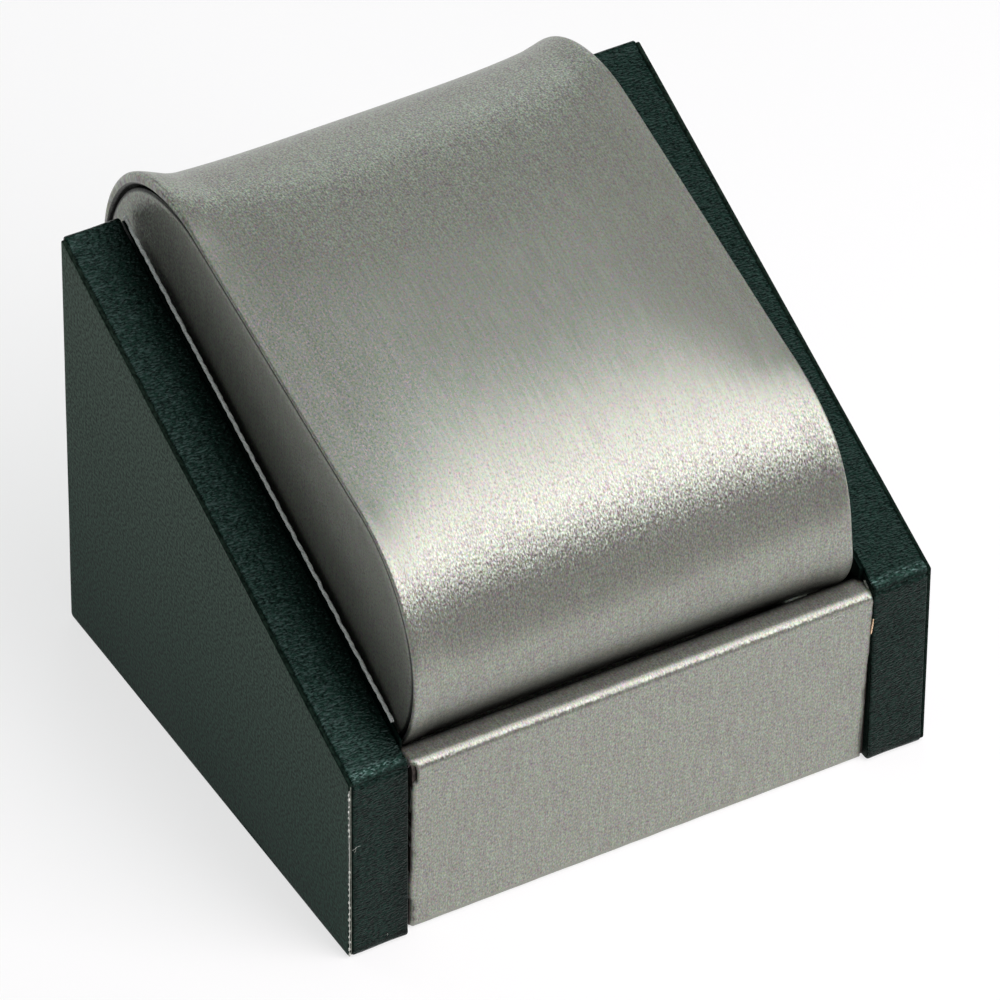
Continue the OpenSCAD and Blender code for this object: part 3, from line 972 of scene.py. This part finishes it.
def section(grow):
    """Two rounds joined by straight flanks, grown outwards by grow from the core.

    It starts at the middle of the underside and runs anticlockwise, with even steps.
    """
    touch = math.pi / 2 - TAPER
    rounds = []
    for centre, radius, start, stop in (
        (BACK_CENTRE, BACK_R - SLEEVE_T + grow, -touch, touch),
        (FRONT_CENTRE, FRONT_R - SLEEVE_T + grow, touch, 2 * math.pi - touch),
    ):
        angles = np.linspace(start, stop, 120) + SLOPE
        rounds.append(centre + radius * np.column_stack([np.cos(angles), np.sin(angles)]))
    under = (rounds[1][-1] + rounds[0][0]) / 2
    return resample(np.vstack([under, rounds[0], rounds[1]]), AROUND)


def waist_share(x):
    """How much of its waist and crown the sleeve has at x from its left end: 0 at the lips."""
    s = np.clip((x - LIP_R) / (CUSHION_L - 2 * LIP_R), 0, 1)
    return 1 - np.abs(2 * s - 1) ** 4


def top_flank(along):
    """Distance up the top flank from the front round, by the distance round the section."""
    return 1.5 * SPAN + BACK_R * (math.pi - 2 * TAPER) - along


def waist_depth(along):
    """How far the middle sinks below the lips; less where the front round leans on the board."""
    turned = -top_flank(along) / FRONT_R
    pressed = np.clip((turned - WAIST_ENDS[0]) / (WAIST_ENDS[1] - WAIST_ENDS[0]), 0, 1)
    return WAIST_DEPTH * (1 - PRESSED_SHARE * smooth_step(pressed))


def crown_height(along):
    """How far the foam swells the top flank, by the distance round the section."""
    u = top_flank(along)
    rise = np.vectorize(math.erf)
    return CROWN / 2 * (rise((u + 1) / CROWN_SHOULDER) - rise((u - SPAN + 1) / CROWN_SHOULDER))


def by_angle(table):
    """A smooth value round the section from (angle, value) pairs.

    The angle is the outside's own direction in degrees from straight up towards the front.
    """
    outer = section(SLEEVE_T)
    normals = outward(outer)
    angles = np.degrees(np.unwrap(np.arctan2(-normals[:, 0], normals[:, 1])))
    angles -= 360 * np.round((angles[len(angles) // 2] - 90) / 360)
    return blurred(np.interp(angles, *np.array(table).T), ANGLE_BLUR)


# Round the section, by direction: thickness of the left lip, how far it puffs out, how wide the
# crack beside the cap is, how far the right end reaches to the right, how much painted shade
# darkens the crease in front, and the radius of the rims
LIP_T = [(-180, 0.9), (-80, 1.1), (-55, 1.6), (-10, 1.5), (19, 0.5), (60, 0.6), (180, 0.6)]
LIP_PUFF = [(-180, 0.0), (-90, 0.2), (-65, 0.6), (-40, 1.1), (-20, 1.05), (0, 0.45), (18, 0.0), (180, 0.0)]
CRACK = [
    (-180, 0.15), (-80, 0.3), (-50, 0.42), (-15, 0.4), (5, 0.3), (19, 0.25), (70, 0.25),
    (100, 0.28), (180, 0.2),
]
RIGHT_REACH = [
    (-180, -0.5), (19, -0.55), (32, -0.38), (44, -0.12), (56, 0.15), (92, 0.3), (98, 0.6),
    (106, 1.25), (122, 1.8), (140, 1.5), (180, 0.0),
]
CREASE_SHADE = [
    (-180, 0.0), (98, 0.0), (105, 0.17), (110, 0.36), (115, 0.65), (119, 0.95), (150, 0.95),
    (180, 0.0),
]
RIM_R = [(-180, 0.4), (-80, 0.6), (-50, 0.85), (-10, 0.75), (19, 0.25), (60, 0.35), (180, 0.4)]
RIM_MAX = 1.2
# Painted shade in the seam's crack: how many rows at each end of the sleeve, and how dark
SEAM_ROWS = 8
SEAM_SHADE = 0.9
PUFF_WIDTH = 6.5


def sleeve_row_x(x, reach):
    """Where the corners of the ring at x from the left end lie along X."""
    return CUSHION_LEFT_X + x + reach * np.maximum(x / CUSHION_L, 0) ** 8


def left_puff(x, puff):
    """How far the sleeve swells at x because its left lip puffs out by puff."""
    return puff * smooth_step(np.clip(1 - x / PUFF_WIDTH, 0, 1))


# The cloth simulation: its copy's scale and grid, frames, pressure, most swell and start size
SIM_SCALE = 10.0
SIM_ROWS, SIM_SPOKES = 33, 96
SIM_FRAMES = 20
SIM_PRESSURE = 4.0
SIM_CAP = 0.5
SIM_SMALLER = 0.25


# Where the cushion rests on the seat and the front board, and where its padding spreads its
# turns, by direction round the section
RESTS = [(-180, 1.0), (-90, 1.0), (-75, 0.0), (70, 0.0), (90, 1.0), (180, 1.0)]
EASED = [(-180, 0.0), (-45, 0.0), (-20, 1.0), (50, 1.0), (80, 0.0), (180, 0.0)]


def pin_weights(rests):
    """1 at the sewn ends and where the cushion rests, easing to 0 where the cloth is free."""
    rows = np.arange(SIM_ROWS)
    ends = np.clip(1 - np.minimum(rows, SIM_ROWS - 1 - rows) / 2.0, 0, 1)
    return np.maximum(ends[:, None], np.clip(rests, 0, 1)[None, :])


def settled(shape_row, rests):
    """How the foam's pressure moves the sleeve's cloth: offsets on a coarse grid, in millimetres.

    shape_row(x) gives the ring of corners at x from the left end, and rests is 1 where the
    cushion rests. It returns each row's x and the offsets along the normals.
    """
    xs = np.linspace(RIM_MAX, CUSHION_L - RIM_MAX, SIM_ROWS)
    skip = AROUND // SIM_SPOKES
    rest, normals = [], []
    for x in xs:
        ring = shape_row(x)[::skip]
        out = outward(ring)
        rest.append(np.column_stack([np.full(SIM_SPOKES, x), ring - SIM_SMALLER * out]))
        normals.append(np.column_stack([np.zeros(SIM_SPOKES), out]))
    rest, normals = np.array(rest), np.array(normals)
    mesh = bpy.data.meshes.new("cloth_copy")
    faces = grid_faces(SIM_ROWS, SIM_SPOKES, close_cols=True)
    mesh.from_pydata((rest.reshape(-1, 3) * METRE * SIM_SCALE).tolist(), [], faces)
    copy = bpy.data.objects.new("cloth_copy", mesh)
    bpy.context.scene.collection.objects.link(copy)
    pins = copy.vertex_groups.new(name="pins")
    for i, weight in enumerate(pin_weights(rests[::skip]).ravel()):
        pins.add([i], float(weight), "REPLACE")
    cloth = copy.modifiers.new("cloth", "CLOTH")
    cloth.settings.vertex_group_mass = "pins"
    cloth.settings.use_pressure = True
    cloth.settings.uniform_pressure_force = SIM_PRESSURE
    cloth.settings.effector_weights.gravity = 0.0
    cloth.settings.quality = 6
    cloth.point_cache.frame_start = 1
    cloth.point_cache.frame_end = SIM_FRAMES
    scene = bpy.context.scene
    for step in range(1, SIM_FRAMES + 1):
        scene.frame_set(step)
    evaluated = copy.evaluated_get(bpy.context.evaluated_depsgraph_get())
    moved = np.empty(len(evaluated.data.vertices) * 3)
    evaluated.data.vertices.foreach_get("co", moved)
    moved = moved.reshape(rest.shape) / METRE / SIM_SCALE
    scene.frame_set(1)
    bpy.data.objects.remove(copy)
    bpy.data.meshes.remove(mesh)
    swell = ((moved - rest) * normals).sum(-1)
    return xs, np.clip(swell, 0, SIM_CAP) - SIM_SMALLER


def spread_offsets(xs, offsets, x):
    """The coarse grid's offsets at x, for every corner round the section."""
    column = [np.interp(x, xs, offsets[:, k]) for k in range(offsets.shape[1])]
    column.append(column[0])
    spokes = np.linspace(0, 1, offsets.shape[1] + 1)
    return blurred(np.interp(np.arange(AROUND) / AROUND, spokes, column), OFFSET_BLUR)


def eased(ring):
    """A ring with its turns spread a little along it, as padding does."""
    return np.column_stack([blurred(ring[:, k], EASE_SPAN) for k in range(2)])


# How far the sleeve's hem runs in from its ends, how far below the core's line it ends, and over
# how many millimetres the simulated swell fades in at the ends
HEM_L, HEM_TURN, HEM_DEPTH = 1.8, 1.1, 0.9
SWELL_FADE = 3.0


def sleeve():
    """The cushion's satin sleeve: lips at its ends, a shallow waist and a crowned top flank."""
    core = section(0.0)
    normals = outward(section(SLEEVE_T))
    along = arc_lengths(section(SLEEVE_T))
    crown, sink = crown_height(along), waist_depth(along)
    shade, lip_t, puff, reach, rim_r, rests, ease = (
        by_angle(table)
        for table in (CREASE_SHADE, LIP_T, LIP_PUFF, RIGHT_REACH, RIM_R, RESTS, EASED)
    )
    inner = SLEEVE_T - lip_t
    rim = [(x, SLEEVE_T - low) for x, low in quarter(rim_r, 7)]
    turned = [(x, inner + high) for x, high in quarter(0.7 * rim_r, 7)]
    hem = inner * 0 - HEM_DEPTH
    left = [(HEM_L, hem), (HEM_TURN, hem), (HEM_TURN - 0.1, np.maximum(inner, 0.04) - 0.02)]
    left += turned[::-1] + rim
    waist_x = np.linspace(RIM_MAX, CUSHION_L - RIM_MAX, 150)
    waist = [(x, inner * 0 + SLEEVE_T) for x in waist_x]
    right = [(CUSHION_L - x, g) for x, g in left]
    stations = left + waist + right[::-1]

    def bulge(x):
        return left_puff(x, puff) + waist_share(x) * (crown - sink)

    xs, offsets = settled(lambda x: core + normals * (SLEEVE_T + bulge(x))[:, None], rests)
    verts, place = [], []
    for row, (x, grow) in enumerate(stations):
        free = 0.0
        if np.ndim(x) == 0 and RIM_MAX <= x <= CUSHION_L - RIM_MAX:
            to_end = min(x, CUSHION_L - x) - RIM_MAX
            free = spread_offsets(xs, offsets, x) * min(1, to_end / SWELL_FADE)
        p = core + normals * (grow + bulge(x) + free)[:, None]
        soft = (ease * waist_share(np.mean(x)))[:, None]
        p = (1 - soft) * p + soft * eased(p)
        verts.append(np.column_stack([sleeve_row_x(x, reach), p]))
        # Painted shade: the crease where the cushion leans on the board, and the seam's crack in the rows
        # inside each lip
        inside = min(row, len(stations) - 1 - row) < SEAM_ROWS
        place.append(np.column_stack([np.zeros(AROUND) + x, along, np.maximum(shade, SEAM_SHADE * inside)]))
    faces = grid_faces(len(stations), AROUND, close_rows=True, close_cols=True)
    piece = make_piece("cushion_satin", verts, faces, SATIN,
                       ["cushion_sleeve"], place)
    return piece


# A cap's section: depth behind the sleeve's end, and distance inwards from its own edge
CAP_PROFILE = [
    (2.7, 0.3), (1.2, 0.05), (0.8, 0.0), (0.5, 0.02), (0.33, 0.12), (0.24, 0.28), (0.2, 0.55),
    (0.2, 1.0), (0.26, 1.8), (0.36, 2.8), (0.5, 4.2), (0.62, 6.0), (0.72, 8.5), (0.78, 11.5),
    (0.8, 15.0),
]


def cap(end):
    """A satin-covered end cap, puffed at its edge; end is 0 at the left and 1 at the right."""
    normals = outward(section(SLEEVE_T))
    along = arc_lengths(section(SLEEVE_T))
    puff = by_angle(LIP_PUFF) * (1 - end)
    edge = SLEEVE_T - by_angle(LIP_T) - by_angle(CRACK) + puff
    reach = by_angle(RIGHT_REACH) * end
    verts, place = [], []
    for x, d in CAP_PROFILE:
        fade = max(1 - d / 6, 0)
        ring = section(-d) + normals * (edge * fade)[:, None]
        px = CUSHION_LEFT_X + (x if end == 0 else CUSHION_L - x) + reach * fade
        # Painted shade in the seam's crack at the cap's edge
        in_seam = x > 0.23 and d < 0.5
        verts.append(np.column_stack([px, ring]))
        place.append(np.column_stack([ring, np.full(AROUND, SEAM_SHADE * in_seam)]))
    faces = tube_faces(len(CAP_PROFILE), AROUND)
    if end == 1:
        faces = [f[::-1] for f in faces]
    name = "left" if end == 0 else "right"
    piece = make_piece(f"cushion_{name}_cap", verts, faces, SATIN_CAP,
                       [f"cushion_{name}_cap_cover"], place)
    return piece


# Camera, floor and lights

CAMERA_AZIMUTH = -29.91
CAMERA_ELEVATION = 40.45
CAMERA_DISTANCE = 1217.6
CAMERA_ROLL = 0.502
CAMERA_LENS = 357.1
AIM_RIGHT = 0.472
AIM_UP = 21.76


def direction(azimuth, height):
    """The way to a place by its azimuth from the front towards the right and its height angle."""
    a, e = math.radians(azimuth), math.radians(height)
    return Vector((math.sin(a) * math.cos(e), -math.cos(a) * math.cos(e), math.sin(e)))


def make_camera():
    roll = math.radians(CAMERA_ROLL)
    back = direction(CAMERA_AZIMUTH, CAMERA_ELEVATION)
    right = (-back).cross(Vector((0, 0, 1))).normalized()
    up = right.cross(-back)
    place = Vector((0, FOOT_MID_Y, 0)) + back * CAMERA_DISTANCE + right * AIM_RIGHT + up * AIM_UP
    side = math.cos(roll) * right + math.sin(roll) * up
    top = -math.sin(roll) * right + math.cos(roll) * up
    data = bpy.data.cameras.new("camera")
    data.sensor_width = 36.0
    data.lens = CAMERA_LENS
    data.clip_start = 0.1
    data.clip_end = 20.0
    camera = bpy.data.objects.new("camera", data)
    turn = Matrix((side, top, back)).transposed().to_4x4()
    camera.matrix_world = Matrix.Translation(place * METRE) @ turn
    bpy.context.scene.collection.objects.link(camera)
    bpy.context.scene.camera = camera


# The floor, and two walls that the camera doesn't see: half width, place along Y and height
FLOOR_WHITE = 0.7
FLOOR_HALF = 3.0
BACKDROP = (0.6, 600 * METRE, 240 * METRE)
DARK_FRONT = (0.4, -130 * METRE, 62 * METRE)


def stage_sheet(name, corners, material):
    mesh = bpy.data.meshes.new(name)
    mesh.from_pydata(corners, [], [(0, 1, 2, 3)])
    mesh.materials.append(material)
    sheet = bpy.data.objects.new(name, mesh)
    bpy.context.scene.collection.objects.link(sheet)
    return sheet


def stage_wall(name, half, y, height, material):
    return stage_sheet(name, [(-half, y, 0), (half, y, 0), (half, y, height), (-half, y, height)], material)


def make_floor():
    """A plain white floor that keeps the stand's soft shadow."""
    material = bpy.data.materials.new("floor")
    tree, shader = nodes_of(material)
    feed(tree, shader, {"Base Color": (0.9, 0.9, 0.9, 1), "Roughness": 0.9, "Specular IOR Level": 0.0})
    white = add(tree, "ShaderNodeEmission", {"Color": (1, 1, 1, 1), "Strength": 1.0})
    path = add(tree, "ShaderNodeLightPath")
    seen = math_node(tree, "MAXIMUM", path.outputs["Is Camera Ray"], path.outputs["Is Glossy Ray"])
    seen = math_node(tree, "MAXIMUM", seen, path.outputs["Is Transmission Ray"])
    share = math_node(tree, "MULTIPLY", seen, FLOOR_WHITE)
    total = add(tree, "ShaderNodeMixShader", {0: share, 1: shader.outputs[0], 2: white.outputs[0]})
    tree.links.new(total.outputs[0], tree.nodes["Material Output"].inputs["Surface"])
    half = FLOOR_HALF
    corners = [(-half, -half, 0), (half, -half, 0), (half, half, 0), (-half, half, 0)]
    floor = stage_sheet("floor", corners, material)
    floor.location = (0, 0, -0.02 * METRE)
    make_backdrop(material)


def make_backdrop(material):
    """A low white wall well behind the stand, which shows in the satin's back."""
    wall = stage_wall("backdrop", *BACKDROP, material)
    wall.visible_camera = False


def dark_front():
    """The dark room in front of the lit table, which only shows in reflections."""
    dark = plain_material("dark_front", (0.03, 0.03, 0.03), (0.04, 0.04, 0.04), 0.01)
    card = stage_wall("dark_front", *DARK_FRONT, dark)
    card.visible_camera = False
    card.visible_shadow = False
    card.visible_diffuse = False


# Softboxes: azimuth from the front towards the right, height angle, width and height, brightness
LAMP_DISTANCE = 600
FRONT_TINT = (1.0, 0.945, 0.975)
TOP_TINT = (0.92, 1.0, 1.0)
WIDE, NARROW, SQUARE = (437, 168), (437, 84), (250, 250)
LAMPS = [
    ("front_low", 30, 34, WIDE, 7.2),
    ("front_middle", 30, 50, WIDE, 6.4),
    ("front_high", 30, 66, WIDE, 4.3),
    ("front_floor", 30, 22, NARROW, 3.4),
    ("top_front", 30, 82, NARROW, 1.5),
    ("top_left", -10, 82, WIDE, 0.9),
    ("top_right", 70, 82, WIDE, 0.5),
    ("top", 0, 90, SQUARE, 1.3),
    ("back_low", 150, 26, SQUARE, 1.4),
    ("back_high", 150, 58, SQUARE, 0.5),
    ("back_left", 210, 26, SQUARE, 2.0),
]


def make_lights():
    """Softboxes that all face the middle of the stand; brightness 1 is the white of the floor."""
    target = Vector((0, 0, 30))
    for name, azimuth, height, (size_x, size_y), brightness in LAMPS:
        way = direction(azimuth, height)
        data = bpy.data.lights.new(name, "AREA")
        data.shape = "RECTANGLE"
        data.size = size_x * METRE
        data.size_y = size_y * METRE
        data.energy = brightness * math.pi * data.size * data.size_y
        data.color = FRONT_TINT if name.startswith("front") else TOP_TINT
        lamp = bpy.data.objects.new(name, data)
        turn = way.to_track_quat("Z", "Y").to_matrix().to_4x4()
        lamp.matrix_world = Matrix.Translation((target + way * LAMP_DISTANCE) * METRE) @ turn
        lamp.visible_camera = False
        bpy.context.scene.collection.objects.link(lamp)


WORLD_LIGHT = 0.08


def make_world():
    world = bpy.data.worlds.new("world")
    bpy.context.scene.world = world
    world.use_nodes = True
    tree = world.node_tree
    feed(tree, tree.nodes["Background"], {"Color": (1, 1, 1, 1), "Strength": WORLD_LIGHT})


def dress_nodes():
    """Gives every CAD node that stays its procedural material."""
    finish = {
        "leatherette": LINING, "satin": SATIN_FLAT, "bare_board": BOARD, "card": CARD, "foam": FOAM,
        "felt": FELT,
    }
    slots = {p["node"]: p["material_slot"] for p in frame["record"]["subparts"]}
    for name, node in frame["nodes"].items():
        node.data.materials.clear()
        node.data.materials.append(finish[slots[name]])


def main():
    make_camera()
    dress_nodes()
    for side, name in ((-1, "left"), (1, "right")):
        edge_strip(side, name)
        outer_sheet(side, name)
        liner(side, name)
        inner_flap(side, name)
        liner_yarns(side, name)
    raw_edge(-1, "left")
    small_marks()
    front_cover()
    seat_and_back()
    sleeve()
    cap(0)
    cap(1)
    make_floor()
    dark_front()
    make_lights()
    make_world()
    bpy.context.scene.view_settings.view_transform = "Standard"


main()
